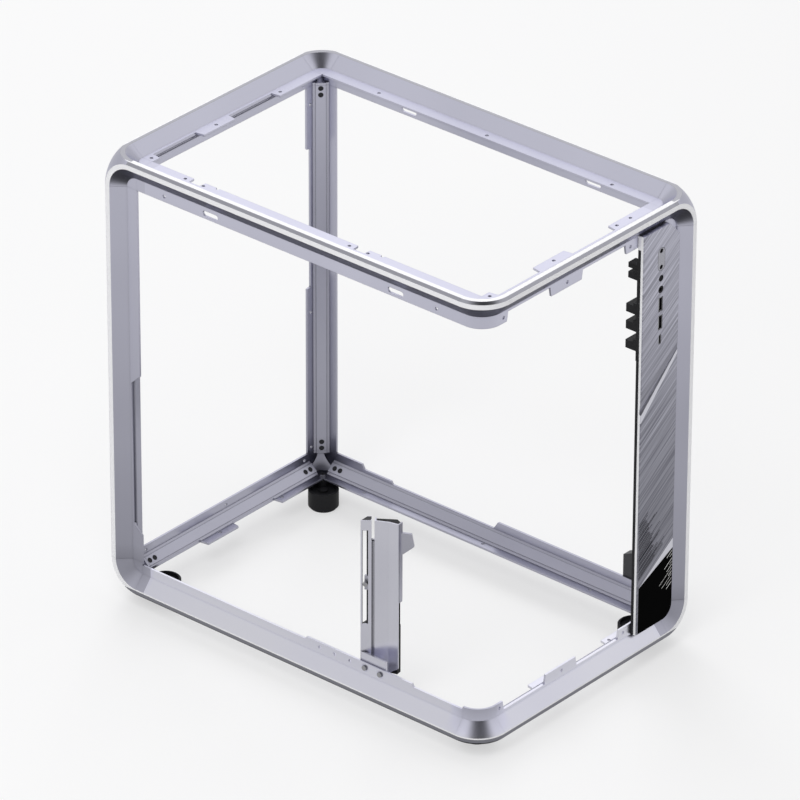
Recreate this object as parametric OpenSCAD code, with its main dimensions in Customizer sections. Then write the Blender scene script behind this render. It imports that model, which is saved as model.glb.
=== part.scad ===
// Bare aluminium frame of a small computer case whose glass wraps round one front corner.
// Eight rails and three posts meet in cast corners, and two bends carry the post-free corner.
// A port strip stands on the front right post, and a graphics card holder on the left rail.
// The frame stands on four feet. +Z is up, the port strip faces -Y, +X is right seen from it.
// The shapes are drawn from the near top corner: x to the right, y to the rear, z down is minus.

/* [Frame] */
// Outer width, left side to right side
frame_width = 285; // [270:1:320]
// Outer depth, front to rear
frame_depth = 436; // [415:1:470]
// Outer height of the frame without its feet
frame_height = 436; // [415:1:470]

/* [Profile] */
// Chamfer along the outer nose
nose_chamfer = 2.5; // [1.5:0.1:3]
// Width of the flat land beside the nose
land_width = 4.5; // [4:0.1:5]
// Run of the sloped band from the land down to the flange
band_run = 12; // [11:0.1:12.5]
// Depth of the flange below the outer face
flange_depth = 10; // [9:0.1:10.5]
// Thickness of the flange
flange_thickness = 2; // [1.5:0.1:2.2]
// Reach of the flange from the outer faces, and length of the corner pieces
flange_reach = 30.5; // [30:0.1:32]
// Wall of the hollow chamber
wall = 2; // [1.6:0.1:2.2]
// Distance from the outer faces to the foot of the slanted inner web
web_foot = 22.3; // [22:0.1:23]

/* [Flange holes] */
// Distance of the flange holes from the outer faces
hole_offset = 25.4; // [25:0.1:26]
// Diameter of the flange holes
hole_diameter = 3.2; // [2.6:0.1:4]
// Reach left where a flange is trimmed back between its tabs
trimmed_reach = 21.5; // [20.5:0.1:22]
// Length of the hanging slots
slot_length = 17.5; // [10:0.5:22]
// Width of the hanging slots
slot_width = 5; // [3:0.1:6]

/* [Feet] */
// Drop of the feet below the frame
foot_drop = 14; // [12:0.5:20]
// Radius of a foot
foot_radius = 14.2; // [13:0.1:16]
// Distance of a foot's centre from both outer faces
foot_offset = 35; // [34:0.5:37]
// Thickness of the rubber pad under a foot
pad_thickness = 3; // [2:0.1:3.5]

/* [Port strip] */
// Width of the port strip
strip_width = 50.6; // [49:0.1:51]
// Distance of the strip's face behind the front of the frame
strip_setback = 4.5; // [4:0.1:5]
// Thickness of the metal plate
plate_thickness = 2.2; // [2:0.1:2.6]
// Depth of the power button below the top
power_depth = 50; // [48:0.5:51]
// Width of the power button
power_width = 9; // [7:0.1:10]
// Height of the power button
power_height = 22; // [16:0.5:22]
// Travel of the two buttons
button_travel = 1; // [0.5:0.1:1]

/* [Card holder] */
// Height of the holder's top above the frame's underside
holder_top = 170.7; // [160:0.1:190]
// Distance of the holder's narrow edge behind the front
holder_position = 149.3; // [148:0.1:150.5]
// Angle of the holder's wide face to the side of the frame
holder_angle = 62.2; // [60:0.1:64]

/* [Hidden] */
$fn = 64;

metal = [0.72, 0.72, 0.78];
black = [0.06, 0.06, 0.07];
steel = [0.35, 0.35, 0.38];
// Gap between parts that move past each other, and round a tenon
slide_gap = 0.3;
tenon_gap = 0.15;
// Overshoot of a cutter past the face that it cuts
over = 1;

corner_length = flange_reach;
land_end = nose_chamfer + land_width;
band_end = land_end + band_run;
flange_back = flange_depth + flange_thickness;
// Sum of the two coordinates along the web's faces and the raised rib
web_sum = web_foot + flange_back;
rib_inset = 1.9;
rib_height = 0.6;
rib_sum = web_sum + 2 * rib_height;
web_thickness = 1.87;

// Profile in u and v, the distances in from the two outer faces
function profile_half() = [[nose_chamfer, 0], [land_end, 0], [band_end, flange_depth],
  [flange_reach, flange_depth], [flange_reach, flange_back], [web_foot, flange_back],
  [web_foot - rib_inset, flange_back + rib_inset],
  [web_foot - rib_inset + rib_height, flange_back + rib_inset + rib_height]];
function swapped(points) = [for (i = [len(points) - 1:-1:0]) [points[i][1], points[i][0]]];
function profile() = concat(profile_half(), swapped(profile_half()));

// Chamber inside the profile, behind walls of the given thickness plus a gap
function chamber_half(gap) =
  let(w = wall + gap,
      slope = flange_depth / band_run,
      lift = w * sqrt(1 + slope * slope),
      nose = nose_chamfer + w * sqrt(2),
      far = web_sum - (web_thickness + gap) * sqrt(2),
      far_u = (far + slope * land_end - lift) / (1 + slope))
  [[nose - w, w], [land_end + (w - lift) / slope, w], [far_u, far - far_u]];
function chamber(gap) = concat(chamber_half(gap), swapped(chamber_half(gap)));

tenon_length = 14;
screw_places = [corner_length + 3, corner_length + 9.5];
screw_shank = 2.6;
screw_head = 4.6;
screw_head_height = 0.9;
screw_hole_gap = 0.2;

// Mirrors and directions that put one drawing at each side of the frame
module to_case() {
  translate([-frame_width / 2, -frame_depth / 2, frame_height + foot_drop]) children();
}
module on_right() {
  translate([frame_width, 0, 0]) mirror([1, 0, 0]) children();
}
module on_rear() {
  translate([0, frame_depth, 0]) mirror([0, 1, 0]) children();
}
module on_bottom() {
  translate([0, 0, -frame_height]) mirror([0, 0, 1]) children();
}
module along_depth() {
  rotate([-90, 0, 0]) children();
}
module along_width() {
  mirror([1, -1, 0]) along_depth() children();
}
module along_height() {
  mirror([0, 0, 1]) children();
}

// Cutters for the flange that runs along u; w is the place along the member
module flange_hole(w, diameter = hole_diameter, offset = hole_offset) {
  translate([offset, flange_depth - over, w])
    rotate([-90, 0, 0]) cylinder(d = diameter, h = flange_thickness + 2 * over);
}
module flange_slot(w) {
  straight = slot_length - slot_width;
  for (side = [-1, 1]) flange_hole(w + side * straight / 2, slot_width);
  translate([hole_offset - slot_width / 2, flange_depth - over, w - straight / 2])
    cube([slot_width, flange_thickness + 2 * over, straight]);
}
module flange_trim(start, end, reach, slant = 1.5) {
  translate([0, flange_back + over, 0]) rotate([90, 0, 0])
    linear_extrude(flange_thickness + 2 * over)
      polygon([[reach, start + slant], [reach, end - slant], [flange_reach, end],
        [flange_reach + over, end], [flange_reach + over, start], [flange_reach, start]]);
}
module flange_cutters(trims, holes, slots) {
  for (t = trims) flange_trim(t[0], t[1], t[2], len(t) > 3 ? t[3] : 1.5);
  for (w = holes) flange_hole(w);
  for (w = slots) flange_slot(w);
}

// Countersunk places of the screws that hold a member on the tenons of its corners
module web_axis(w) {
  translate([rib_sum / 2, rib_sum / 2, w]) rotate([0, 0, 45]) rotate([0, -90, 0]) children();
}
module screw_recess(w) {
  web_axis(w) translate([0, 0, -over]) cylinder(d = screw_head + screw_hole_gap, h = over + 1.1);
  web_axis(w) cylinder(d = screw_shank + screw_hole_gap, h = 6);
}
module corner_screw(w) {
  web_axis(w) translate([0, 0, 1.1 - screw_head_height]) {
    difference() {
      cylinder(d = screw_head, h = screw_head_height);
      translate([0, 0, -over]) cylinder(d = 2.4, h = over + 0.6, $fn = 6);
    }
    cylinder(d = screw_shank, h = 5.5);
  }
}

// One hollow member between two corners; "u" is its flange along u, "v" the one along v
module member(length, u_trims = [], u_holes = [], u_slots = [], v_trims = [], v_holes = [],
    v_slots = []) {
  color(metal) difference() {
    translate([0, 0, corner_length]) linear_extrude(length - 2 * corner_length)
      difference() {
        polygon(profile());
        polygon(chamber(0));
      }
    flange_cutters(u_trims, u_holes, u_slots);
    mirror([1, -1, 0]) flange_cutters(v_trims, v_holes, v_slots);
    for (w = screw_places) {
      screw_recess(w);
      screw_recess(length - w);
    }
  }
}

// Places along the members; a tab ends at each trim
first_tab = [98, 138.5];
first_hole = 119.3;
second_tab = frame_width - 86.5;
second_hole = frame_width - 81;
front_hole = 35;
edge_end = 39.6;
front_slot = 108.5;
rear_slot = frame_depth - 116.5;

module notched_flange() {
  // Two screws, a half-round cut and a shallow notch for a magnet plate
  for (set = [139.9, frame_depth - 107.7]) {
    flange_hole(set, 3.6, flange_reach - 0.6);
    flange_trim(set + 14.8, set + 28.2, 23.3, 0.6);
    flange_hole(set + 13);
    flange_hole(set + 33.9);
  }
}

module rail_top_left() {
  to_case() along_depth() difference() {
    member(frame_depth, v_holes = [63, frame_depth - 62.6], v_slots = [front_slot, rear_slot]);
    notched_flange();
  }
}
module rail_top_right() {
  to_case() on_right() along_depth()
    member(frame_depth, u_holes = [76.4, frame_depth / 2, frame_depth - 93],
      v_slots = [front_slot, rear_slot]);
}
module rail_top_front() {
  to_case() along_width()
    member(frame_width,
      u_trims = [[40, first_tab[0], trimmed_reach], [first_tab[1], second_tab, trimmed_reach]],
      u_holes = [front_hole, first_hole, second_hole, second_hole + 18.3],
      v_trims = [[edge_end, first_tab[0], trimmed_reach],
        [first_tab[1], second_tab, trimmed_reach]],
      v_holes = [front_hole, first_hole, second_hole]);
}
module rail_top_rear() {
  to_case() on_rear() along_width()
    member(frame_width,
      u_trims = [[40, first_tab[0], trimmed_reach], [first_tab[1], second_tab, trimmed_reach]],
      u_holes = [front_hole, first_hole, second_hole],
      v_holes = [front_hole, frame_width - front_hole]);
}

bracket_holes = [for (i = [0:4]) 195.1 - 17.5 * i];
low_reach = 27.7;

module rail_bottom_left() {
  to_case() on_bottom() along_depth()
    member(frame_depth,
      v_trims = [[0, 88.5, low_reach], [210.4, frame_depth, low_reach]],
      v_holes = bracket_holes);
}
module rail_bottom_right() {
  to_case() on_right() on_bottom() along_depth()
    member(frame_depth, u_holes = [93, frame_depth / 2, frame_depth - 76.4],
      v_trims = [[frame_depth / 2 - 6, frame_depth - 93.6, 22.8, 5],
        [frame_depth - 100, frame_depth - 61.5, 25.7, 3]]);
}
module rail_bottom_front() {
  to_case() on_bottom() along_width()
    member(frame_width,
      u_trims = [[0, first_tab[0], trimmed_reach],
        [first_tab[1], second_tab, trimmed_reach]],
      u_holes = [first_hole, second_hole],
      v_trims = [[edge_end, first_tab[0], trimmed_reach],
        [first_tab[1], second_tab, trimmed_reach]],
      v_holes = [front_hole, first_hole, second_hole]);
}
module rail_bottom_rear() {
  to_case() on_rear() on_bottom() along_width()
    member(frame_width,
      u_trims = [[0, first_tab[0], trimmed_reach],
        [first_tab[1], second_tab, trimmed_reach]],
      u_holes = [first_hole, second_hole],
      v_holes = [front_hole, frame_width / 2, frame_width - front_hole]);
}

// Posts: u is measured from the side, v from the front or the rear
module post_rear_left() {
  to_case() on_rear() along_height()
    member(frame_height, v_trims = [[frame_height / 2 - 2, frame_height - 58, 20, 10]]);
}
module post_rear_right() {
  to_case() on_right() on_rear() along_height()
    member(frame_height, u_trims = [[92, frame_height / 2 + 16.5, 25.8, 1]],
      u_holes = [49, frame_height / 2 + 41.8, frame_height - 36]);
}
strip_screw_places = [62, frame_height / 2, frame_height - 62];
strip_screw_offset = 27;
module post_front_right() {
  to_case() on_right() along_height() difference() {
    member(frame_height);
    for (w = strip_screw_places) flange_hole(w, 3.4, strip_screw_offset);
  }
}

// Cast corner where three members meet, drawn with its three outer faces on x, y, z = 0
q = corner_length;
ball_radius = sqrt(q * q + (q - nose_chamfer) * (q - nose_chamfer));
casting_wall = 2.5;
pocket_top = q - land_end;
pocket_bottom = q - band_end;
cone_wall = 3.1;
foot_screw_offset = 27;

module chamfered_block(inset, size) {
  // The chamfers are cut through the three edges that meet in the corner
  cut = nose_chamfer + inset * sqrt(2);
  difference() {
    translate([inset, inset, inset]) cube(size - inset);
    for (turn = [0:2]) axis_turn(turn)
      translate([0, 0, -over]) linear_extrude(size + 2 * over)
        polygon([[-over, -over], [cut + over, -over], [-over, cut + over]]);
  }
}
// Turns x to y to z and keeps the corner where it is
module axis_turn(turn) {
  if (turn == 0) children();
  else if (turn == 1) multmatrix([[0, 1, 0, 0], [0, 0, 1, 0], [1, 0, 0, 0]]) children();
  else multmatrix([[0, 0, 1, 0], [1, 0, 0, 0], [0, 1, 0, 0]]) children();
}
module pocket(extra, depth) {
  // Sloped band as a cone round the window's corner, then straight to the flange
  outward = over * band_run / flange_depth;
  translate([q, q, -over])
    cylinder(r1 = pocket_top + extra + outward, r2 = pocket_bottom + extra,
      h = flange_depth + over);
  if (depth > flange_depth) translate([q, q, 0]) cylinder(r = pocket_bottom + extra, h = depth);
}
module casting_body() {
  intersection() {
    chamfered_block(0, q);
    translate([q, q, q]) sphere(ball_radius, $fn = 96);
  }
}
module casting_hollow() {
  difference() {
    intersection() {
      chamfered_block(casting_wall, q + over);
      translate([q, q, q]) sphere(ball_radius - casting_wall, $fn = 96);
    }
    for (turn = [0:2]) axis_turn(turn) pocket(cone_wall, flange_back);
    for (turn = [0:2]) axis_turn(turn)
      translate([0, 0, q - casting_wall]) linear_extrude(casting_wall + 2 * over)
        polygon(profile());
  }
}
module tenon() {
  difference() {
    translate([0, 0, q - over]) linear_extrude(tenon_length + over) polygon(chamber(tenon_gap));
    for (w = screw_places) screw_recess(w);
  }
}
module casting(foot) {
  color(metal) {
    difference() {
      casting_body();
      casting_hollow();
      for (turn = [0:2]) axis_turn(turn) pocket(0, flange_depth);
      if (foot) translate([foot_screw_offset, foot_screw_offset, flange_depth - over])
        cylinder(d = 4.2, h = flange_thickness + 2 * over);
    }
    for (turn = [0:2]) axis_turn(turn) tenon();
  }
}
module corner_rear_left_top() {
  to_case() on_rear() mirror([0, 0, 1]) casting(false);
}
module corner_rear_right_top() {
  to_case() on_right() on_rear() mirror([0, 0, 1]) casting(false);
}
module corner_front_right_top() {
  to_case() on_right() mirror([0, 0, 1]) casting(false);
}
module corner_rear_left_bottom() {
  to_case() on_rear() translate([0, 0, -frame_height]) casting(true);
}
module corner_rear_right_bottom() {
  to_case() on_right() on_rear() translate([0, 0, -frame_height]) casting(true);
}
module corner_front_right_bottom() {
  to_case() on_right() translate([0, 0, -frame_height]) casting(true);
}

// Bend that turns a rail round the corner that has no post
module bend(foot) {
  color(metal) {
    difference() {
      translate([q, q, 0]) rotate([0, 0, 180]) rotate_extrude(angle = 90, $fn = 128)
        polygon([for (p = profile()) [q - p[0], p[1]]]);
      if (foot) translate([foot_screw_offset, foot_screw_offset, flange_depth - over])
        cylinder(d = 4.2, h = flange_thickness + 2 * over);
    }
    axis_turn(2) tenon();
    mirror([1, -1, 0]) axis_turn(2) tenon();
  }
}
module bend_front_left_top() {
  to_case() mirror([0, 0, 1]) bend(false);
}
module bend_front_left_bottom() {
  to_case() translate([0, 0, -frame_height]) bend(true);
}

module member_screws(length) {
  for (w = screw_places) {
    corner_screw(w);
    corner_screw(length - w);
  }
}
module corner_screws() {
  color(black) to_case() {
    along_depth() member_screws(frame_depth);
    on_right() along_depth() member_screws(frame_depth);
    along_width() member_screws(frame_width);
    on_rear() along_width() member_screws(frame_width);
    on_bottom() along_depth() member_screws(frame_depth);
    on_right() on_bottom() along_depth() member_screws(frame_depth);
    on_bottom() along_width() member_screws(frame_width);
    on_rear() on_bottom() along_width() member_screws(frame_width);
    on_rear() along_height() member_screws(frame_height);
    on_right() on_rear() along_height() member_screws(frame_height);
    on_right() along_height() member_screws(frame_height);
  }
}

// Feet, drawn from the ground up
module to_ground() {
  translate([-frame_width / 2, -frame_depth / 2, 0]) children();
}
foot_top = foot_drop + 5;
foot_bottom = 1.5;
foot_recess = 3;
foot_rim = 2.2;
pad_radius = foot_radius - 2;
pad_gap = 0.2;
boss_radius = 5;
foot_screw_shank = 3;
foot_screw_end = foot_drop + 1;

module foot() {
  inner = foot_radius - foot_rim;
  color(black) translate([0, 0, 0]) difference() {
    union() {
      translate([foot_offset, foot_offset, 0]) rotate_extrude()
        polygon([[0, pad_thickness], [pad_radius + pad_gap, pad_thickness],
          [pad_radius + pad_gap, foot_bottom], [foot_radius - 0.8, foot_bottom],
          [foot_radius, foot_bottom + 0.8], [foot_radius, foot_top - 0.6],
          [foot_radius - 0.6, foot_top], [inner, foot_top], [inner, foot_top - foot_recess],
          [4, foot_top - foot_recess], [4, foot_top - 1], [0, foot_top - 1]]);
      translate([foot_screw_offset, foot_screw_offset, pad_thickness + 2])
        cylinder(r = boss_radius, h = foot_drop + flange_depth - pad_thickness - 2);
    }
    translate([foot_screw_offset, foot_screw_offset, foot_screw_end - over])
      cylinder(d = foot_screw_shank + screw_hole_gap, h = foot_drop + flange_depth);
  }
}
module foot_pad() {
  color([0.12, 0.12, 0.13]) translate([foot_offset, foot_offset, 0]) {
    cylinder(r = pad_radius, h = pad_thickness);
  }
}
module foot_screw() {
  translate([foot_screw_offset, foot_screw_offset, 0]) {
    translate([0, 0, foot_screw_end])
      cylinder(d = foot_screw_shank, h = foot_drop + flange_back - foot_screw_end);
    translate([0, 0, foot_drop + flange_back]) difference() {
      cylinder(r = 2.9, h = 1.8);
      translate([0, 0, 0.8]) cylinder(d = 2.6, h = 2, $fn = 6);
    }
  }
}
module foot_front_left() { to_ground() foot(); }
module foot_front_right() { to_ground() on_right() foot(); }
module foot_rear_left() { to_ground() on_rear() foot(); }
module foot_rear_right() { to_ground() on_right() on_rear() foot(); }
module pad_front_left() { to_ground() foot_pad(); }
module pad_front_right() { to_ground() on_right() foot_pad(); }
module pad_rear_left() { to_ground() on_rear() foot_pad(); }
module pad_rear_right() { to_ground() on_right() on_rear() foot_pad(); }
module foot_screws() {
  color(steel) to_ground() {
    foot_screw();
    on_right() foot_screw();
    on_rear() foot_screw();
    on_right() on_rear() foot_screw();
  }
}

// Port strip, drawn in x and z and extruded to the rear
strip_right = frame_width - band_end - 1;
strip_left = strip_right - strip_width;
strip_top = -band_end - 0.4;
strip_bottom = -frame_height + band_end + 0.4;
strip_face = strip_setback;
plate_back = strip_face + plate_thickness;
carrier_back = flange_depth;
left_bevel = 2.2;
cut_corner = 14.4;
round_corner = 12.5;
top_block = 13;
port_x = strip_right - 24.8;
port_gap = 0.3;
reset_depth = power_depth + 18.7;
audio_depth = power_depth + 29.7;
usb_upper_depth = power_depth + 44.2;
usb_lower_depth = power_depth + 62;
usb_c_depth = power_depth + 78.9;
usb_a_size = [5.3, 13.3];
usb_c_size = [3.2, 9];
reset_radius = 2.75;
audio_radius = 3.1;
board_front = 13;
board_back = 14.6;

// Extrudes an outline in x and z from one depth to another
module slab(front, back) {
  translate([0, back, 0]) rotate([90, 0, 0]) linear_extrude(back - front) children();
}
module strip_outline(left) {
  difference() {
    union() {
      translate([left, strip_bottom])
        square([strip_right - round_corner - left, strip_top - strip_bottom]);
      translate([left, strip_bottom + round_corner])
        square([strip_right - left, strip_top - strip_bottom - round_corner]);
      translate([strip_right - round_corner, strip_bottom + round_corner]) circle(round_corner);
    }
    polygon([[strip_right - cut_corner - over, strip_top + over], [strip_right + over,
      strip_top + over], [strip_right + over, strip_top - cut_corner - over]]);
  }
}
module pill(width, height) {
  for (side = [-1, 1]) translate([0, side * (height - width) / 2]) circle(d = width);
  square([width, height - width], center = true);
}
// Outlines of the ports, wider by a gap all round
module port_outlines(gap) {
  translate([port_x, -power_depth]) pill(power_width + 2 * gap, power_height + 2 * gap);
  translate([port_x, -reset_depth]) circle(reset_radius + gap);
  translate([port_x, -audio_depth]) circle(audio_radius + gap);
  for (depth = [usb_upper_depth, usb_lower_depth]) translate([port_x, -depth])
    square([usb_a_size[0] + 2 * gap, usb_a_size[1] + 2 * gap], center = true);
  translate([port_x, -usb_c_depth]) pill(usb_c_size[0] + 2 * gap, usb_c_size[1] + 2 * gap);
}
// Wedge that opens from a line on the face; its slope runs to the wanted side of the line
module face_wedge(start, end, slope, side) {
  run = [end[0] - start[0], end[1] - start[1]];
  reach = 60;
  translate([start[0], strip_face, start[1]]) rotate([0, -atan2(run[1], run[0]), 0])
    translate([-reach / 2, 0, 0]) rotate([90, 0, 90]) linear_extrude(norm(run) + reach)
      polygon([[0, 0], [-over, 0], [-over, side * reach], [reach * tan(slope), side * reach]]);
}
groove_top = [[strip_left - 0.8, -174.7], [strip_right + 0.6, -140.9]];
groove_bottom = [[strip_left + 0.5, -196.1], [strip_right - 0.4, -148.3]];
groove_slope = 5.4;
groove_edge_slope = 50;
insert_depth = 1;
insert_left = strip_left + left_bevel + 1.3;
insert_line = [[insert_left, -frame_height + 66], [strip_right + 0.3, -frame_height + 88.2]];
module insert_outline() {
  intersection() {
    strip_outline(insert_left);
    polygon([[insert_left, -frame_height], insert_line[0], insert_line[1],
      [strip_right + over, -frame_height + 88.2], [strip_right + over, -frame_height]]);
  }
}
module strip_plate() {
  color([0.62, 0.62, 0.68]) to_case() difference() {
    union() {
      slab(strip_face, plate_back) strip_outline(strip_left);
      slab(plate_back - 0.01, carrier_back) intersection() {
        strip_outline(strip_left);
        translate([strip_left, strip_top - top_block]) square([strip_width, top_block]);
      }
    }
    translate([0, 0, -frame_height]) linear_extrude(frame_height)
      polygon([[strip_left - over, strip_face - over],
        [strip_left + left_bevel + over, strip_face - over],
        [strip_left - over, strip_face + left_bevel + over]]);
    slab(strip_face - over, plate_back + over) port_outlines(port_gap);
    intersection() {
      face_wedge(groove_top[0], groove_top[1], groove_slope, -1);
      face_wedge(groove_bottom[0], groove_bottom[1], groove_edge_slope, 1);
    }
    slab(strip_face - over, strip_face + insert_depth) insert_outline();
  }
}
module strip_insert() {
  color(black) to_case() slab(strip_face, strip_face + insert_depth) insert_outline();
}
carrier_top = strip_top - top_block - 0.4;
module strip_carrier() {
  color(black) to_case() difference() {
    union() {
      slab(plate_back, carrier_back) intersection() {
        strip_outline(strip_left + 0.3);
        translate([strip_left, strip_bottom])
          square([strip_width, carrier_top - strip_bottom]);
      }
      for (z = board_screw_depths) translate([board_screw_x, carrier_back - over, -z])
        rotate([-90, 0, 0]) cylinder(r = 3, h = board_front - carrier_back + over);
    }
    slab(plate_back - over, carrier_back + over) port_outlines(1.2);
    for (z = board_screw_depths) translate([board_screw_x, plate_back + over, -z])
      rotate([-90, 0, 0]) cylinder(d = 2.2, h = board_front);
    for (w = strip_screw_places) translate([frame_width - strip_screw_offset, 8, -w])
      rotate([-90, 0, 0]) cylinder(d = 2.8, h = carrier_back);
  }
}
// Buttons have a collar behind the plate that keeps them in their holes
button_back = 8.1;
collar = 0.7;
module power_button() {
  color([0.6, 0.6, 0.66]) to_case() translate([port_x, 0, -power_depth]) difference() {
    union() {
      slab(strip_face, button_back) pill(power_width, power_height);
      slab(plate_back + 0.2, button_back)
        pill(power_width + 2 * collar, power_height + 2 * collar);
    }
    for (side = [-1, 1]) translate([0, strip_face - 2.2, side * power_height * 0.36])
      scale(1) sphere(3.2);
  }
}
module reset_button() {
  color([0.25, 0.25, 0.28]) to_case() translate([port_x, 0, -reset_depth]) {
    translate([0, strip_face + 0.4, 0]) rotate([-90, 0, 0])
      cylinder(r = reset_radius, h = button_back - strip_face - 0.4);
    translate([0, plate_back + 0.2, 0]) rotate([-90, 0, 0])
      cylinder(r = reset_radius + collar, h = button_back - plate_back - 0.2);
  }
}
module audio_jack() {
  color(black) to_case() translate([port_x, strip_face + 0.3, -audio_depth])
    rotate([-90, 0, 0]) difference() {
      cylinder(r = audio_radius, h = board_front - strip_face - 0.3);
      translate([0, 0, -over]) cylinder(d = 3.6, h = over + 7);
    }
}
socket_wall = 0.4;
module usb_a(depth) {
  to_case() translate([port_x, 0, -depth]) {
    color(steel) slab(strip_face + 0.3, board_front) difference() {
      square(usb_a_size, center = true);
      square([usb_a_size[0] - 2 * socket_wall, usb_a_size[1] - 2 * socket_wall], center = true);
    }
    color(black) slab(strip_face + 1.2, board_front - 0.01)
      translate([-1.4, 0]) square([1.9, usb_a_size[1] - 2 * socket_wall - 1], center = true);
    color(steel) slab(board_front - 1, board_front) square(usb_a_size, center = true);
  }
}
module usb_a_upper() { usb_a(usb_upper_depth); }
module usb_a_lower() { usb_a(usb_lower_depth); }
module usb_c() {
  color(steel) to_case() translate([port_x, 0, -usb_c_depth]) {
    slab(strip_face + 0.3, board_front) difference() {
      pill(usb_c_size[0], usb_c_size[1]);
      pill(usb_c_size[0] - 2 * socket_wall, usb_c_size[1] - 2 * socket_wall);
    }
    slab(strip_face + 1.2, board_front) square([0.7, 6.4], center = true);
    slab(board_front - 1, board_front) pill(usb_c_size[0], usb_c_size[1]);
  }
}
board_left = strip_left + 5.2;
board_right = strip_right - 12.8;
board_top = -45;
board_bottom = -145;
board_screw_x = board_right - 4;
board_screw_depths = [70, 141];
switch_top = board_front - 9.4;
module io_board() {
  color([0.08, 0.1, 0.09]) to_case() {
    difference() {
      slab(board_front, board_back) translate([board_left, board_bottom])
        square([board_right - board_left, board_top - board_bottom]);
      for (z = board_screw_depths) translate([board_screw_x, board_front - over, -z])
        rotate([-90, 0, 0]) cylinder(d = 2.4, h = 4);
    }
    for (z = [power_depth, reset_depth]) translate([port_x, board_front - switch_top, -z])
      rotate([-90, 0, 0]) cylinder(r = 1.6, h = switch_top);
  }
}
// Plugs on the rear of the board: their depth range and how far to the rear they reach
header_x = strip_left + 7.6;
module header(top, bottom, width, back) {
  slab(board_back, back) translate([header_x, -bottom]) square([width, bottom - top]);
}
module io_headers() {
  color(black) to_case() {
    header(53, 58, 10, 26.4);
    header(62, 68, 10, 26.4);
    for (top = [93.8, 110.5, 129.4]) {
      header(top, top + 8, 14, 28);
      header(top - 2.6, top, 12, 20);
    }
  }
}
module strip_screws() {
  color(steel) to_case() {
    for (z = board_screw_depths) translate([board_screw_x, 0, -z]) {
      translate([0, board_back, 0]) rotate([-90, 0, 0]) cylinder(r = 2.1, h = 1.4);
      translate([0, 9, 0]) rotate([-90, 0, 0]) cylinder(d = 2, h = board_back - 9);
    }
    for (w = strip_screw_places) translate([frame_width - strip_screw_offset, 0, -w]) {
      translate([0, flange_back, 0]) rotate([-90, 0, 0]) cylinder(r = 2.6, h = 1.6);
      translate([0, 8.4, 0]) rotate([-90, 0, 0]) cylinder(d = 2.6, h = flange_back - 8.4);
    }
  }
}
// Catch block for the side panel, low in the right face beside the front post
module panel_latch() {
  color([0.3, 0.3, 0.32]) to_case() translate([frame_width - flange_depth, 0, -frame_height])
    rotate([90, 0, 90]) linear_extrude(flange_depth - 1)
      polygon([[corner_length + 0.8, band_end + 0.4], [68, band_end + 0.4], [68, 52],
        [corner_length + 8, 66], [corner_length + 0.8, 66]]);
}

// Card holder, drawn in plan about its narrow edge: x along its wide face, y inward
module to_holder() {
  to_case() translate([flange_back, holder_position, -frame_height])
    rotate([0, 0, -holder_angle]) children();
}
holder_foot = 18.5;
slot_bottom = holder_top - 104;
slot_top = holder_top - 10;
arm_rest = holder_top - 64.7;
arm_half = 7;
channel = [4.4, 7.4];
tray_gap = 0.3;
module upright(bottom, top, points) {
  translate([0, 0, bottom]) linear_extrude(top - bottom) polygon(points);
}
module holder_slot() {
  // Slot in the narrow face and the channel that runs on behind the wide face
  translate([1.3, -over, slot_bottom]) cube([5.1, over + channel[1], slot_top - slot_bottom]);
}
module holder_channel() {
  translate([1.3, channel[0], slot_bottom])
    cube([40, channel[1] - channel[0], slot_top - slot_bottom]);
}
bracket_bolts = [bracket_holes[3], bracket_holes[4]];
bolt_height = hole_offset;
module holder_bracket() {
  color([0.8, 0.8, 0.85]) difference() {
    union() {
      to_holder() {
        upright(holder_foot + 2.5, holder_top, [[0, 0], [9.35, 1.86], [7.5, 9.9], [4.5, 9.1]]);
        upright(holder_foot + 2.5, holder_top - 22,
          [[7, 4], [11.5, 4], [10.6, 9.4], [7.5, 9.5]]);
      }
      to_case() translate([flange_back, bracket_bolts[1] - 5, -frame_height + web_foot + 0.4])
        cube([2, holder_position - bracket_bolts[1] + 4.4, 16]);
    }
    to_holder() {
      holder_slot();
      holder_channel();
    }
    for (y = bracket_bolts) to_case() translate([flange_back - over, y, bolt_height - frame_height])
      rotate([0, 90, 0]) cylinder(d = 2.9, h = 3 + over);
  }
}
module holder_cover() {
  color([0.78, 0.78, 0.84]) to_holder() difference() {
    upright(holder_foot, holder_top, [[11.9, 2.1], [24.6, 2.1], [33.7, 0], [33.97, 1.17],
      [24.87, 3.3], [13.3, 3.3], [12.3, 9.1], [10.8, 8.9]]);
    holder_channel();
    translate([24.6, -over, holder_foot - over]) rotate([0, 90, 0]) rotate([90, 0, 0])
      translate([0, 0, -6]) linear_extrude(8)
        polygon([[over, -over], [-over, 0], [-over - 7, 10], [over, 10]]);
  }
}
module holder_core() {
  color(black) to_holder() difference() {
    upright(holder_foot, holder_top - 1.5, [[13.3, 3.3], [24.87, 3.3], [32.6, 1.5], [34.4, 6.7],
      [30.1, 11.5], [12.3, 9.1]]);
    holder_channel();
  }
}
module holder_arm() {
  color([0.62, 0.62, 0.68]) to_holder() {
    upright(arm_rest - 15, holder_top - 0.3, [[34.27, 1.5], [36, 6], [34.79, 6.47], [33.06, 1.97]]);
    upright(arm_rest - arm_half, arm_rest + arm_half,
      [[2.4, channel[0] + tray_gap], [35.4, channel[0] + tray_gap],
        [35.4, channel[1] - tray_gap], [2.4, channel[1] - tray_gap]]);
    translate([0, 6.47, 0]) rotate([90, 0, 0]) linear_extrude(2.4)
      polygon([[35, holder_top - 10.4], [44.4, holder_top - 10.4], [46.6, holder_top - 23],
        [35, holder_top - 33]]);
  }
}
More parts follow.
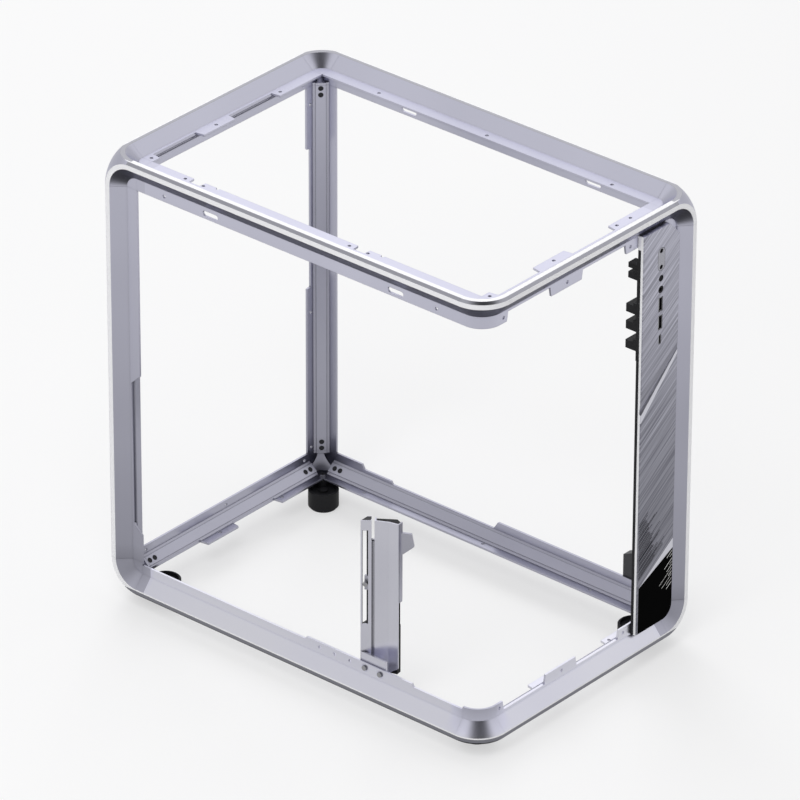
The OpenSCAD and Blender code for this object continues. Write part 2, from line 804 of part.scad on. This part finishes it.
module holder_knob() {
  color(steel) to_holder() translate([3.85, 1.2, arm_rest]) rotate([-90, 0, 0])
    cylinder(r = 2.2, h = channel[0] + tray_gap - 1.2);
}
module holder_screws() {
  color(steel) for (y = bracket_bolts) to_case() translate([0, y, bolt_height - frame_height]) {
    translate([flange_depth - 1.5, 0, 0]) rotate([0, 90, 0]) cylinder(r = 2.4, h = 1.5);
    translate([flange_depth, 0, 0]) rotate([0, 90, 0]) cylinder(d = 2.7, h = 4);
  }
}

rail_top_left();
rail_top_right();
rail_top_front();
rail_top_rear();
rail_bottom_left();
rail_bottom_right();
rail_bottom_front();
rail_bottom_rear();
post_rear_left();
post_rear_right();
post_front_right();
corner_rear_left_top();
corner_rear_right_top();
corner_front_right_top();
corner_rear_left_bottom();
corner_rear_right_bottom();
corner_front_right_bottom();
bend_front_left_top();
bend_front_left_bottom();
corner_screws();
foot_front_left();
foot_front_right();
foot_rear_left();
foot_rear_right();
pad_front_left();
pad_front_right();
pad_rear_left();
pad_rear_right();
foot_screws();
strip_plate();
strip_insert();
strip_carrier();
power_button();
reset_button();
audio_jack();
usb_a_upper();
usb_a_lower();
usb_c();
io_board();
io_headers();
strip_screws();
panel_latch();
holder_bracket();
holder_cover();
holder_core();
holder_arm();
holder_knob();
holder_screws();
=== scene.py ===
"""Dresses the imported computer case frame: camera, light, floor, materials and surface details."""
import math
import random

import bmesh
import bpy
from mathutils import Matrix, Vector


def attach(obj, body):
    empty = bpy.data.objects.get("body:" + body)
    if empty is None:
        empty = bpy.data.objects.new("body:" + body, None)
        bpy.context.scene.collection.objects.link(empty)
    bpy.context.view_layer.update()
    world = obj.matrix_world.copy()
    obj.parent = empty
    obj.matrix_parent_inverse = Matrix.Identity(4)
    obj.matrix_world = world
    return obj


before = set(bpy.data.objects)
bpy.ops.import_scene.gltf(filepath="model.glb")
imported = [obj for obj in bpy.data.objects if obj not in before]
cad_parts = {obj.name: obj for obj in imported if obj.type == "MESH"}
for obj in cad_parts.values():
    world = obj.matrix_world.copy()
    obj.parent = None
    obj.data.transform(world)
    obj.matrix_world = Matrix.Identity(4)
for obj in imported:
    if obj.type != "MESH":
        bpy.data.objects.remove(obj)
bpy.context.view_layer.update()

# Camera, solved from the edges in the photograph; the lens is in pixels of an 800 pixel frame
FRAME_PIXELS = 800
LENS_PIXELS = 7633.0
CENTRE_X_PIXELS = 384.7
CENTRE_Y_PIXELS = 391.0
CAMERA_PLACE = Vector((-4.44735, -3.81711, 3.49744))
CAMERA_AZIMUTH = math.radians(-49.238)
CAMERA_ELEVATION = math.radians(29.118)
CAMERA_ROLL = math.radians(0.133)
SENSOR_WIDTH = 36.0

# Sizes in metres, as in the solids
FRAME_HALF_WIDTH = 0.1425
FRAME_HALF_DEPTH = 0.218
FRAME_BOTTOM = 0.014
FRAME_TOP = 0.450
BEND_RADIUS = 0.0305
NOSE = 0.0025
LAND_END = 0.0070
STRIP_FACE = -0.2135
STRIP_LEFT = 0.0719
STRIP_RIGHT = 0.1225

# The studio: grey by height, from straight down (0) to straight up (1), and its soft patches as
# direction, inner and outer angle in degrees, and grey. All were matched to tones in the photograph
SKY_STOPS = ((0.00, 0.03), (0.13, 0.07), (0.19, 0.28), (0.25, 0.76),
             (0.40, 0.62), (0.70, 0.52), (0.80, 0.78), (1.00, 0.76))
PATCHES = (
    ((0.66, 0.57, 0.49), 12, 34, 1.00),
    ((-0.30, -0.39, 0.87), 17, 38, 0.012),
    ((0.36, 0.57, -0.74), 8, 24, 0.06),
    ((-0.48, 0.57, 0.66), 3, 9, 0.42),
    ((0.66, -0.60, 0.45), 3, 8, 0.94),
)
# Name, place, width and power in watts
LAMPS = (
    ("key", (-1.6, -0.6, 2.6), 1.6, 34),
    ("back", (1.4, 1.8, 2.2), 1.6, 24),
)
LAMP_TARGET = (0, 0, 0.2)
FLOOR_HALF = 9
# Share of plain white that the camera sees in the floor
FLOOR_WHITE = 0.55

# Painted highlight and shade by place on the frame, in metres but for the share NOSE_MARGIN and the
# highlight's colour
LAND_TOLERANCE = 0.0001
NOSE_MARGIN = 1.06
BRIGHT_LINE = 0.0012
POST_REACH = (0.030, 0.045)
RAIL_REACH = 0.040
TOP_REACH = 0.030
# Colour of the painted highlight
HIGHLIGHT_WHITE = (0.95, 0.95, 0.97, 1)

# The smooth slopes on the strip's plate, which carry painted light: x, z and steepness of their
# upper and lower edges
GROOVE_SLOPE = ((0.0724, 0.2539, 0.958), (0.0732, 0.2467, 1.032))
INSERT_SLOPE = ((0.0754, 0.0800, 0.680), (0.0754, 0.0800, 0.468))

# Strokes on the strip, in metres but for the angle in degrees
STREAK_ANGLE = 35
MARK_LIFT = 0.00008
STREAKS_LOW = 0.0885
STREAKS_HIGH = 0.146
STREAK_REACH_LOW = 0.030
STREAK_REACH_LOSS = 0.021
STREAK_WIDTHS = (0.0006, 0.0008, 0.0010)
STREAK_GAPS = (0.0007, 0.0013)
TIP_STEP = 0.004
TIP_WIDTH = 0.00045
DASHES_HIGH = 0.0995
DASHES_LOW = 0.0635
DASH_LENGTHS = (0.004, 0.006, 0.009, 0.013, 0.017, 0.021)
DASH_WIDTHS = (0.0004, 0.0006)
DASH_STEPS = (0.0026, 0.0044)

# Plan direction of the holder in degrees, the foot of its narrow edge in metres, and the slope of
# its narrow face
HOLDER_TURN = 62.2
HOLDER_EDGE = (-0.1305, -0.0687, 0.014)
HOLDER_LEAN = 0.199


def make_camera():
    data = bpy.data.cameras.new("camera")
    data.sensor_width = SENSOR_WIDTH
    data.lens = LENS_PIXELS * SENSOR_WIDTH / FRAME_PIXELS
    data.shift_x = (FRAME_PIXELS / 2 - CENTRE_X_PIXELS) / FRAME_PIXELS
    data.shift_y = (CENTRE_Y_PIXELS - FRAME_PIXELS / 2) / FRAME_PIXELS
    data.clip_end = 50
    back = Vector((
        math.sin(CAMERA_AZIMUTH) * math.cos(CAMERA_ELEVATION),
        -math.cos(CAMERA_AZIMUTH) * math.cos(CAMERA_ELEVATION),
        math.sin(CAMERA_ELEVATION),
    ))
    right = (-back).cross(Vector((0, 0, 1))).normalized()
    up = right.cross(-back)
    level = Matrix((right, up, back)).transposed()
    camera = bpy.data.objects.new("camera", data)
    camera.location = CAMERA_PLACE
    camera.rotation_mode = "QUATERNION"
    camera.rotation_quaternion = (level @ Matrix.Rotation(CAMERA_ROLL, 3, "Z")).to_quaternion()
    bpy.context.collection.objects.link(camera)
    bpy.context.scene.camera = camera


class Nodes:
    """Short calls that add and join the nodes of one tree."""

    def __init__(self, tree):
        self.tree = tree
        tree.nodes.clear()

    def add(self, kind, **sockets):
        node = self.tree.nodes.new(kind)
        for name, value in sockets.items():
            self.put(node, name.replace("_", " "), value)
        return node

    def put(self, node, name, value):
        self.join(value, node.inputs[name])

    def join(self, value, socket):
        if isinstance(value, bpy.types.NodeSocket):
            self.tree.links.new(value, socket)
        else:
            socket.default_value = value

    def math(self, operation, *values, clamp=False):
        node = self.tree.nodes.new("ShaderNodeMath")
        node.operation = operation
        node.use_clamp = clamp
        for socket, value in zip(node.inputs, values):
            self.join(value, socket)
        return node.outputs[0]

    def ramp(self, factor, stops, smooth=False):
        node = self.tree.nodes.new("ShaderNodeValToRGB")
        if smooth:
            node.color_ramp.interpolation = "EASE"
        while len(node.color_ramp.elements) < len(stops):
            node.color_ramp.elements.new(0.5)
        for element, (place, colour) in zip(node.color_ramp.elements, stops):
            element.position = place
            element.color = (*colour, 1) if len(colour) == 3 else colour
        self.tree.links.new(factor, node.inputs[0])
        return node.outputs[0]

    def mix(self, factor, first, second, blend="MIX"):
        node = self.tree.nodes.new("ShaderNodeMix")
        node.data_type = "RGBA"
        node.blend_type = blend
        for index, value in ((0, factor), (6, first), (7, second)):
            self.join(value, node.inputs[index])
        return node.outputs[2]

    def remap(self, value, low, high, start, end, smooth=False):
        """Maps low..high to start..end and holds the ends."""
        node = self.tree.nodes.new("ShaderNodeMapRange")
        if smooth:
            node.interpolation_type = "SMOOTHSTEP"
        for socket, item in zip(node.inputs, (value, low, high, start, end)):
            self.join(item, socket)
        return node.outputs[0]

    def dot(self, vector, direction):
        node = self.tree.nodes.new("ShaderNodeVectorMath")
        node.operation = "DOT_PRODUCT"
        self.join(vector, node.inputs[0])
        node.inputs[1].default_value = direction
        return node.outputs["Value"]

    def place(self):
        return self.tree.nodes.new("ShaderNodeTexCoord").outputs["Object"]

    def parts(self, vector):
        node = self.add("ShaderNodeSeparateXYZ", Vector=vector)
        return node.outputs["X"], node.outputs["Y"], node.outputs["Z"]


def grey(value, blue=1.0):
    return (value, value, value * blue, 1)


def add_lobe(nodes, way, colour, towards, inner, outer, value):
    """Lays one soft patch of the studio over the sky colour, round a direction."""
    facing = nodes.dot(way, Vector(towards).normalized())
    share = nodes.remap(facing, math.cos(math.radians(outer)), math.cos(math.radians(inner)),
                        0.0, 1.0, smooth=True)
    return nodes.mix(share, colour, grey(value, 1.02))


def make_world():
    world = bpy.data.worlds.new("studio")
    bpy.context.scene.world = world
    world.use_nodes = True
    nodes = Nodes(world.node_tree)
    way = nodes.add("ShaderNodeTexCoord").outputs["Generated"]
    up = nodes.parts(way)[2]
    level = nodes.remap(up, -1.0, 1.0, 0.0, 1.0)
    sky = nodes.ramp(level, [(place, grey(value)) for place, value in SKY_STOPS])
    for towards, inner, outer, value in PATCHES:
        sky = add_lobe(nodes, way, sky, towards, inner, outer, value)
    light = nodes.add("ShaderNodeBackground", Color=sky, Strength=1.0)
    white = nodes.add("ShaderNodeBackground", Color=(1, 1, 1, 1), Strength=1.0)
    ray = nodes.add("ShaderNodeLightPath")
    choice = nodes.add("ShaderNodeMixShader", Fac=ray.outputs["Is Camera Ray"])
    nodes.join(light.outputs[0], choice.inputs[1])
    nodes.join(white.outputs[0], choice.inputs[2])
    nodes.add("ShaderNodeOutputWorld", Surface=choice.outputs[0])


def make_floor():
    mesh = bpy.data.meshes.new("floor")
    corners = [(x * FLOOR_HALF, y * FLOOR_HALF, 0) for x, y in ((-1, -1), (1, -1), (1, 1), (-1, 1))]
    mesh.from_pydata(corners, [], [(0, 1, 2, 3)])
    floor = bpy.data.objects.new("floor", mesh)
    bpy.context.collection.objects.link(floor)
    # The metal shows the studio's own lower half in place of the sheet that the camera sees
    floor.visible_glossy = False
    material = bpy.data.materials.new("floor")
    material.use_nodes = True
    nodes = Nodes(material.node_tree)
    cloud = nodes.add("ShaderNodeTexNoise", Vector=nodes.place(), Scale=1.4, Detail=1.0)
    tone = nodes.mix(cloud.outputs["Fac"], (0.86, 0.86, 0.87, 1), (0.90, 0.90, 0.905, 1))
    diffuse = nodes.add("ShaderNodeBsdfDiffuse", Color=tone)
    glow = nodes.add("ShaderNodeEmission", Color=(1, 1, 1, 1), Strength=1.0)
    ray = nodes.add("ShaderNodeLightPath")
    share = nodes.math("MULTIPLY", ray.outputs["Is Camera Ray"], FLOOR_WHITE)
    cover = nodes.add("ShaderNodeMixShader", Fac=share)
    nodes.join(diffuse.outputs[0], cover.inputs[1])
    nodes.join(glow.outputs[0], cover.inputs[2])
    nodes.add("ShaderNodeOutputMaterial", Surface=cover.outputs[0])
    mesh.materials.append(material)


def make_lights():
    for name, place, size, power in LAMPS:
        data = bpy.data.lights.new(name, "AREA")
        data.size = size
        data.energy = power
        lamp = bpy.data.objects.new(name, data)
        lamp.location = place
        lamp.visible_glossy = False
        aim = Vector(LAMP_TARGET) - Vector(place)
        lamp.rotation_mode = "QUATERNION"
        lamp.rotation_quaternion = aim.to_track_quat("-Z", "Y")
        bpy.context.collection.objects.link(lamp)


def new_material(name):
    material = bpy.data.materials.new(name)
    material.use_nodes = True
    return material, Nodes(material.node_tree)


def noise(nodes, scale, detail=2.0, stretch=(1, 1, 1), turn=(0, 0, 0)):
    turned = nodes.add("ShaderNodeMapping", Vector=nodes.place(), Rotation=turn)
    mapping = nodes.add("ShaderNodeMapping", Vector=turned.outputs["Vector"], Scale=stretch)
    node = nodes.add("ShaderNodeTexNoise", Vector=mapping.outputs["Vector"], Scale=scale,
                     Detail=detail)
    return node.outputs["Fac"]


def painted_crease_shade(nodes, reach, darkest):
    """Painted shade: falls from 1 on open faces to the given value deep in a fold or a joint."""
    hidden = nodes.add("ShaderNodeAmbientOcclusion", Distance=reach)
    hidden.samples = 6
    return nodes.remap(hidden.outputs["AO"], 0.25, 0.95, darkest, 1.0)


def finish_surface(nodes, colour, rough, metallic, height, relief, specular=0.5, edge=None):
    normal = nodes.add("ShaderNodeBump", Height=height, Distance=0.00004, Strength=relief)
    if edge:
        rounded = nodes.add("ShaderNodeBevel", Radius=edge)
        rounded.samples = 4
        nodes.join(rounded.outputs["Normal"], normal.inputs["Normal"])
    shader = nodes.add("ShaderNodeBsdfPrincipled", Normal=normal.outputs["Normal"])
    for name, value in (("Base Color", colour), ("Roughness", rough), ("Metallic", metallic),
                        ("Specular IOR Level", specular)):
        nodes.put(shader, name, value)
    nodes.add("ShaderNodeOutputMaterial", Surface=shader.outputs[0])


def surface(name, colour, dark, rough, rough_spread, metallic, grain, bump, specular=0.5,
            edge=None, fold=None):
    """A surface whose colour, roughness and relief vary with a fine grain and a slow cloud, with
    painted shade in its creases when fold is given.
    """
    material, nodes = new_material(name)
    fine = noise(nodes, grain, 3)
    cloud = noise(nodes, 9, 2)
    share = nodes.math("ADD", nodes.math("MULTIPLY", fine, 0.35),
                       nodes.math("MULTIPLY", cloud, 0.65))
    tone = nodes.ramp(share, [(0.3, dark), (0.7, colour)])
    if fold:
        # Painted shade in the creases
        tone = nodes.mix(1.0, tone, painted_crease_shade(nodes, *fold), "MULTIPLY")
    gloss = nodes.remap(share, 0.3, 0.7, rough + rough_spread, rough - rough_spread)
    finish_surface(nodes, tone, gloss, metallic, fine, bump, specular, edge)
    return material


def painted_post_shade(nodes, low):
    """Paints shade on the posts, darker towards the ground."""
    x, y, z = nodes.parts(nodes.place())
    inside = nodes.math(
        "MAXIMUM",
        nodes.math("SUBTRACT", FRAME_HALF_WIDTH, nodes.math("ABSOLUTE", x)),
        nodes.math("SUBTRACT", FRAME_HALF_DEPTH, nodes.math("ABSOLUTE", y)))
    upright = nodes.math("MULTIPLY", nodes.remap(inside, *POST_REACH, 1.0, 0.0),
                         nodes.remap(z, 0.020, 0.045, 0.0, 1.0))
    shade = nodes.remap(z, 0.0, 0.38, low, 1.0)
    return nodes.mix(upright, (1, 1, 1, 1), shade)


def painted_rail_light_and_shade(nodes):
    """Paints light on the low rails at the post-free corner, a little brighter, and shade on the
    far ones, a little darker.

    This is no difference in the metal: it was matched to the tones in the photograph.
    """
    x, y, z = nodes.parts(nodes.place())
    far = nodes.math("MAXIMUM", nodes.math("GREATER_THAN", x, FRAME_HALF_WIDTH - RAIL_REACH),
                     nodes.math("GREATER_THAN", y, FRAME_HALF_DEPTH - RAIL_REACH))
    low = nodes.remap(z, 0.045, 0.060, 1.0, 0.0)
    painted_near_light = nodes.remap(low, 0.0, 1.0, 1.0, 1.20)
    painted_far_shade = nodes.remap(low, 0.0, 1.0, 0.90, 0.74)
    return nodes.mix(far, painted_near_light, painted_far_shade)


def paint_edge_highlight_and_shade(nodes, tone):
    """Paints a highlight on the outer lands, and shade on the nose and on the low and far top
    lands, by their place on the frame.
    """
    x, y, z = nodes.parts(nodes.place())
    middle = (FRAME_TOP + FRAME_BOTTOM) / 2
    half = (FRAME_TOP - FRAME_BOTTOM) / 2
    side = nodes.math(
        "MAXIMUM",
        nodes.math("SUBTRACT", nodes.math("ABSOLUTE", x), FRAME_HALF_WIDTH),
        nodes.math("SUBTRACT", nodes.math("ABSOLUTE", y), FRAME_HALF_DEPTH))
    # The corner without a post is round in plan
    across = nodes.math("SUBTRACT", BEND_RADIUS - FRAME_HALF_WIDTH, x)
    ahead = nodes.math("SUBTRACT", BEND_RADIUS - FRAME_HALF_DEPTH, y)
    in_bend = nodes.math("MULTIPLY", nodes.math("GREATER_THAN", across, 0.0),
                         nodes.math("GREATER_THAN", ahead, 0.0))
    reach = nodes.math("SQRT", nodes.math("ADD", nodes.math("MULTIPLY", across, across),
                                          nodes.math("MULTIPLY", ahead, ahead)))
    bend = nodes.math("SUBTRACT", reach, BEND_RADIUS)
    side = nodes.math("ADD", nodes.math("MULTIPLY", bend, in_bend),
                      nodes.math("MULTIPLY", side, nodes.math("SUBTRACT", 1.0, in_bend)))
    level = nodes.math("SUBTRACT", nodes.math("ABSOLUTE", nodes.math("SUBTRACT", z, middle)), half)
    out = nodes.math("MAXIMUM", side, level)
    land = nodes.math("GREATER_THAN", out, -LAND_TOLERANCE)
    nose = nodes.math("MULTIPLY", nodes.math("SUBTRACT", 1.0, land),
                      nodes.math("GREATER_THAN", nodes.math("ADD", side, level),
                                 -NOSE * NOSE_MARGIN))
    low = nodes.math("LESS_THAN", z, middle)
    far = nodes.math("MAXIMUM", nodes.math("GREATER_THAN", x, FRAME_HALF_WIDTH - TOP_REACH),
                     nodes.math("GREATER_THAN", y, FRAME_HALF_DEPTH - TOP_REACH))
    # Painted shade on the nose, darker on the low rails
    tone = nodes.mix(nose, tone, nodes.mix(low, (0.50, 0.50, 0.56, 1), (0.28, 0.28, 0.32, 1)))
    # Painted shade darkens the land low down, under one line of painted highlight, and the land on
    # the far top too
    painted_low_land_shade = nodes.math("MULTIPLY",
                      nodes.math("LESS_THAN", z, FRAME_BOTTOM + LAND_END - BRIGHT_LINE), low)
    top_face = nodes.math("GREATER_THAN", level, -LAND_TOLERANCE)
    painted_far_top_shade = nodes.math("MULTIPLY", nodes.math("MULTIPLY", far, top_face),
                          nodes.math("LESS_THAN", side, -NOSE - BRIGHT_LINE))
    painted_highlight = nodes.math("MULTIPLY", land,
                        nodes.math("SUBTRACT", 1.0, nodes.math("MAXIMUM", painted_low_land_shade, painted_far_top_shade)))
    # Painted shade on the low land and on the far top land
    tone = nodes.mix(nodes.math("MULTIPLY", land, painted_low_land_shade), tone, (0.30, 0.30, 0.34, 1))
    tone = nodes.mix(painted_far_top_shade, tone, (0.46, 0.46, 0.50, 1))
    # Painted highlight: the outer lands nearly white
    return nodes.mix(painted_highlight, tone, HIGHLIGHT_WHITE), painted_highlight


def frame_material():
    """Bead-blasted anodised aluminium with a painted highlight on its outer lands, painted shade on
    its nose, creases, low posts and far rails, and painted light on its near low rails.
    """
    material, nodes = new_material("anodised_metal")
    fine = noise(nodes, 2400, 2)
    cloud = noise(nodes, 7, 2)
    share = nodes.math("ADD", nodes.math("MULTIPLY", fine, 0.4),
                       nodes.math("MULTIPLY", cloud, 0.6))
    tone = nodes.ramp(share, [(0.3, (0.73, 0.73, 0.86)), (0.7, (0.78, 0.78, 0.92))])
    # Painted shade, darker low on the posts
    tone = nodes.mix(1.0, tone, painted_post_shade(nodes, 0.62), "MULTIPLY")
    # Painted light on the near low rails and painted shade on the far rails
    tone = nodes.mix(1.0, tone, painted_rail_light_and_shade(nodes), "MULTIPLY")
    # Painted shade in the frame's creases and joints
    tone = nodes.mix(1.0, tone, painted_crease_shade(nodes, 0.0025, 0.15), "MULTIPLY")
    tone, painted_highlight = paint_edge_highlight_and_shade(nodes, tone)
    # The painted highlight is hardly metallic
    metallic = nodes.remap(painted_highlight, 0.0, 1.0, 1.0, 0.25)
    gloss = nodes.remap(share, 0.3, 0.7, 0.33, 0.27)
    finish_surface(nodes, tone, gloss, metallic, fine, 0.25, edge=0.0005)
    return material


def strip_material():
    """Plate with fine slanting grooves, darker towards its foot, with a painted highlight on its
    left edge and painted light on its smooth slopes.
    """
    material, nodes = new_material("strip_metal")
    turn = (0, math.radians(STREAK_ANGLE), 0)
    broad = noise(nodes, 1.0, 2, (12, 1, 620), turn)
    thin = noise(nodes, 1.0, 1, (8, 1, 1500), turn)
    lines = nodes.math("ADD", nodes.math("MULTIPLY", broad, 0.6),
                       nodes.math("MULTIPLY", thin, 0.4))
    tone = nodes.ramp(lines, [(0.36, (0.36, 0.36, 0.43)), (0.52, (0.60, 0.60, 0.70)),
                              (0.66, (0.80, 0.80, 0.92))])
    x, _, z = nodes.parts(nodes.place())
    fade = nodes.remap(z, 0.14, 0.42, 0.50, 1.0)
    tone = nodes.mix(1.0, tone, fade, "MULTIPLY")
    # Painted shade in the plate's creases
    tone = nodes.mix(1.0, tone, painted_crease_shade(nodes, 0.004, 0.15), "MULTIPLY")
    # Smooth slopes without grooves, with painted light: the band under the slanting groove and the
    # one over the dark insert
    for slope in (GROOVE_SLOPE, INSERT_SLOPE):
        over, under = [
            nodes.math("SUBTRACT", z, nodes.math("ADD", start_z, nodes.math(
                "MULTIPLY", nodes.math("SUBTRACT", x, start_x), steepness)))
            for start_x, start_z, steepness in slope]
        smooth = nodes.math("MULTIPLY", nodes.math("LESS_THAN", over, 0.0),
                            nodes.math("GREATER_THAN", under, 0.0))
        tone = nodes.mix(smooth, tone, (0.86, 0.86, 0.94, 1))
    # Painted highlight along the plate's left bevel
    edge = nodes.remap(x, STRIP_LEFT + 0.0013, STRIP_LEFT + 0.0015, 1.0, 0.0)
    tone = nodes.mix(edge, tone, HIGHLIGHT_WHITE)
    metallic = nodes.remap(edge, 0.0, 1.0, 1.0, 0.2)
    finish_surface(nodes, tone, 0.32, metallic, lines, 0.8, edge=0.0004)
    return material


def button_material():
    """Same metal as the plate, with painted shade, nearly black, in its dimples."""
    material, nodes = new_material("button_metal")
    fine = noise(nodes, 1.0, 2, (900, 900, 2600))
    tone = nodes.ramp(fine, [(0.35, (0.42, 0.42, 0.47)), (0.65, (0.62, 0.62, 0.68))])
    y = nodes.parts(nodes.place())[1]
    deep = nodes.remap(y, STRIP_FACE + 0.0001, STRIP_FACE + 0.0004, 0.0, 1.0)
    # Painted shade in the dimples
    tone = nodes.mix(deep, tone, (0.012, 0.012, 0.014, 1))
    # Painted shade in the button's creases
    tone = nodes.mix(1.0, tone, painted_crease_shade(nodes, 0.002, 0.2), "MULTIPLY")
    finish_surface(nodes, tone, 0.34, 1.0, fine, 0.4)
    return material


def stroke_way():
    return Vector((math.cos(math.radians(STREAK_ANGLE)), math.sin(math.radians(STREAK_ANGLE))))


def add_stroke(mesh, start, length, width):
    """One printed stroke: a thin slanted bar with a pointed far end on the strip's face."""
    along = stroke_way()
    across = Vector((-along[1], along[0])) * width / 2
    tail = Vector(start)
    tip = tail + along * length
    neck = tip - along * min(width * 1.2, length / 3)
    outline = (tail - across, neck - across, tip, neck + across, tail + across)
    rings = []
    for lift in (MARK_LIFT, -MARK_LIFT):
        rings.append([mesh.verts.new((p[0], STRIP_FACE - lift, p[1])) for p in outline])
    front, back = rings
    mesh.faces.new(front)
    mesh.faces.new(back[::-1])
    for index in range(len(outline)):
        after = (index + 1) % len(outline)
        mesh.faces.new((front[index], back[index], back[after], front[after]))


def finish_marks(mesh, name, material):
    data = bpy.data.meshes.new(name)
    bmesh.ops.recalc_face_normals(mesh, faces=mesh.faces)
    mesh.to_mesh(data)
    mesh.free()
    data.materials.append(material)
    marks = bpy.data.objects.new(name, data)
    bpy.context.collection.objects.link(marks)
    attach(marks, "frame")


def make_strip_marks():
    """Dark streaks from the plate's left edge and pale dashes from the insert's right edge.

    The areas, angle and sizes follow the photograph, and each stroke in them is random.
    """
    dice = random.Random(7)
    slope = math.tan(math.radians(STREAK_ANGLE))
    left = STRIP_LEFT + 0.0025
    mesh = bmesh.new()
    z = STREAKS_LOW
    while z < STREAKS_HIGH:
        rise = (z - STREAKS_LOW) / (STREAKS_HIGH - STREAKS_LOW)
        reach = STREAK_REACH_LOW - STREAK_REACH_LOSS * rise ** 1.6
        length = reach * dice.uniform(0.72, 1.08)
        width = dice.choice(STREAK_WIDTHS)
        start = left + dice.uniform(0.0, 0.0008)
        add_stroke(mesh, (start, z), length, width)
        if dice.random() < 0.35:
            add_stroke(mesh, (start + TIP_STEP, z + TIP_STEP * slope),
                       length * dice.uniform(1.15, 1.5), TIP_WIDTH)
        z += (width + dice.uniform(*STREAK_GAPS)) / math.cos(math.radians(STREAK_ANGLE))
    ink = surface("streak_ink", (0.030, 0.030, 0.040), (0.015, 0.015, 0.022), 0.45, 0.05, 0.0,
                  900, 0.2, specular=0.2)
    finish_marks(mesh, "strip_streaks", ink)
    mesh = bmesh.new()
    right = STRIP_RIGHT - 0.0006
    z = DASHES_HIGH
    while z > DASHES_LOW:
        length = dice.choice(DASH_LENGTHS)
        tail = Vector((right, z)) - stroke_way() * length
        add_stroke(mesh, tail, length, dice.choice(DASH_WIDTHS))
        z -= dice.uniform(*DASH_STEPS)
    pale = surface("dash_ink", (0.78, 0.78, 0.76), (0.62, 0.62, 0.60), 0.5, 0.05, 0.0, 900, 0.2)
    finish_marks(mesh, "insert_dashes", pale)


def holder_material():
    """Same anodised metal, with painted shade, black, inside the slot and the hollow top of the
    narrow tube.
    """
    material, nodes = new_material("holder_metal")
    fine = noise(nodes, 2400, 2)
    cloud = noise(nodes, 14, 2)
    share = nodes.math("ADD", nodes.math("MULTIPLY", fine, 0.4),
                       nodes.math("MULTIPLY", cloud, 0.6))
    tone = nodes.ramp(share, [(0.3, (0.80, 0.80, 0.90)), (0.7, (0.88, 0.88, 0.97))])
    # Painted shade in the holder's creases
    tone = nodes.mix(1.0, tone, painted_crease_shade(nodes, 0.003, 0.1), "MULTIPLY")
    # Plan coordinates of the holder: along its wide face, and inward from its narrow edge
    turn = math.radians(HOLDER_TURN)
    place = nodes.add("ShaderNodeVectorMath")
    place.operation = "SUBTRACT"
    nodes.join(nodes.place(), place.inputs[0])
    place.inputs[1].default_value = HOLDER_EDGE
    inward = nodes.dot(place.outputs[0], (math.sin(turn), math.cos(turn), 0))
    along = nodes.dot(place.outputs[0], (math.cos(turn), -math.sin(turn), 0))
    # The narrow face leans back along the holder, so the skin is measured from that face
    behind = nodes.math("SUBTRACT", inward, nodes.math("MULTIPLY", along, HOLDER_LEAN))
    painted_tube_shade = nodes.math("MULTIPLY", nodes.remap(behind, 0.0006, 0.0009, 0.0, 1.0),
                         nodes.remap(along, 0.0010, 0.0012, 0.0, 1.0))
    painted_tube_shade = nodes.math("MULTIPLY", painted_tube_shade, nodes.remap(along, 0.0084, 0.0086, 1.0, 0.0))
    painted_tube_shade = nodes.math("MULTIPLY", painted_tube_shade, nodes.remap(behind, 0.0074, 0.0076, 1.0, 0.0))
    # Painted shade: black inside the slot and the tube's hollow top
    tone = nodes.mix(painted_tube_shade, tone, (0.010, 0.010, 0.012, 1))
    gloss = nodes.remap(share, 0.3, 0.7, 0.36, 0.30)
    metallic = nodes.remap(painted_tube_shade, 0.0, 1.0, 1.0, 0.0)
    finish_surface(nodes, tone, gloss, metallic, fine, 0.25, edge=0.0004)
    return material


def dress(material, *names):
    for name in names:
        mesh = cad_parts[name].data
        mesh.materials.clear()
        mesh.materials.append(material)


def dress_nodes():
    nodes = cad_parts
    dress(frame_material(), *[name for name in nodes
                              if name.startswith(("rail", "post", "corner_r", "corner_f", "bend"))])
    dress(strip_material(), "strip_plate")
    dress(button_material(), "power_button", "reset_button")
    black = surface("black_plastic", (0.020, 0.020, 0.022), (0.010, 0.010, 0.012), 0.5, 0.06, 0.0,
                    900, 0.4, specular=0.25)
    dress(black, "strip_carrier", "io_headers", "io_board", "audio_jack", "holder_core",
          *[name for name in nodes if name.startswith("foot_") and name != "foot_screws"])
    gloss = surface("gloss_black", (0.001, 0.001, 0.001), (0.0006, 0.0006, 0.0006), 0.25, 0.03,
                    0.0, 60, 0.02, specular=0.006)
    dress(gloss, "strip_insert")
    rubber = surface("rubber", (0.030, 0.030, 0.031), (0.018, 0.018, 0.018), 0.8, 0.05, 0.0, 1500,
                     0.5)
    dress(rubber, *[name for name in nodes if name.startswith("pad")])
    # The steel takes painted shade in its creases
    steel = surface("steel", (0.55, 0.55, 0.57), (0.42, 0.42, 0.44), 0.3, 0.05, 1.0, 1500, 0.3,
                    fold=(0.002, 0.2))
    dress(steel, "foot_screws", "strip_screws", "holder_screws", "holder_knob", "usb_a_upper",
          "usb_a_lower", "usb_c")
    dark_steel = surface("dark_steel", (0.04, 0.04, 0.045), (0.02, 0.02, 0.025), 0.42, 0.05, 0.6,
                         1500, 0.3)
    dress(dark_steel, "corner_screws")
    latch = surface("grey_plastic", (0.05, 0.05, 0.055), (0.03, 0.03, 0.035), 0.45, 0.05, 0.0, 900,
                    0.3)
    dress(latch, "panel_latch")
    dress(holder_material(), "holder_bracket", "holder_cover")
    arm = surface("arm_metal", (0.62, 0.62, 0.70), (0.54, 0.54, 0.62), 0.34, 0.04, 1.0, 2200, 0.25,
                  edge=0.0004)
    dress(arm, "holder_arm")


make_camera()
make_world()
make_floor()
make_lights()
dress_nodes()
make_strip_marks()
bpy.context.scene.view_settings.view_transform = "Standard"
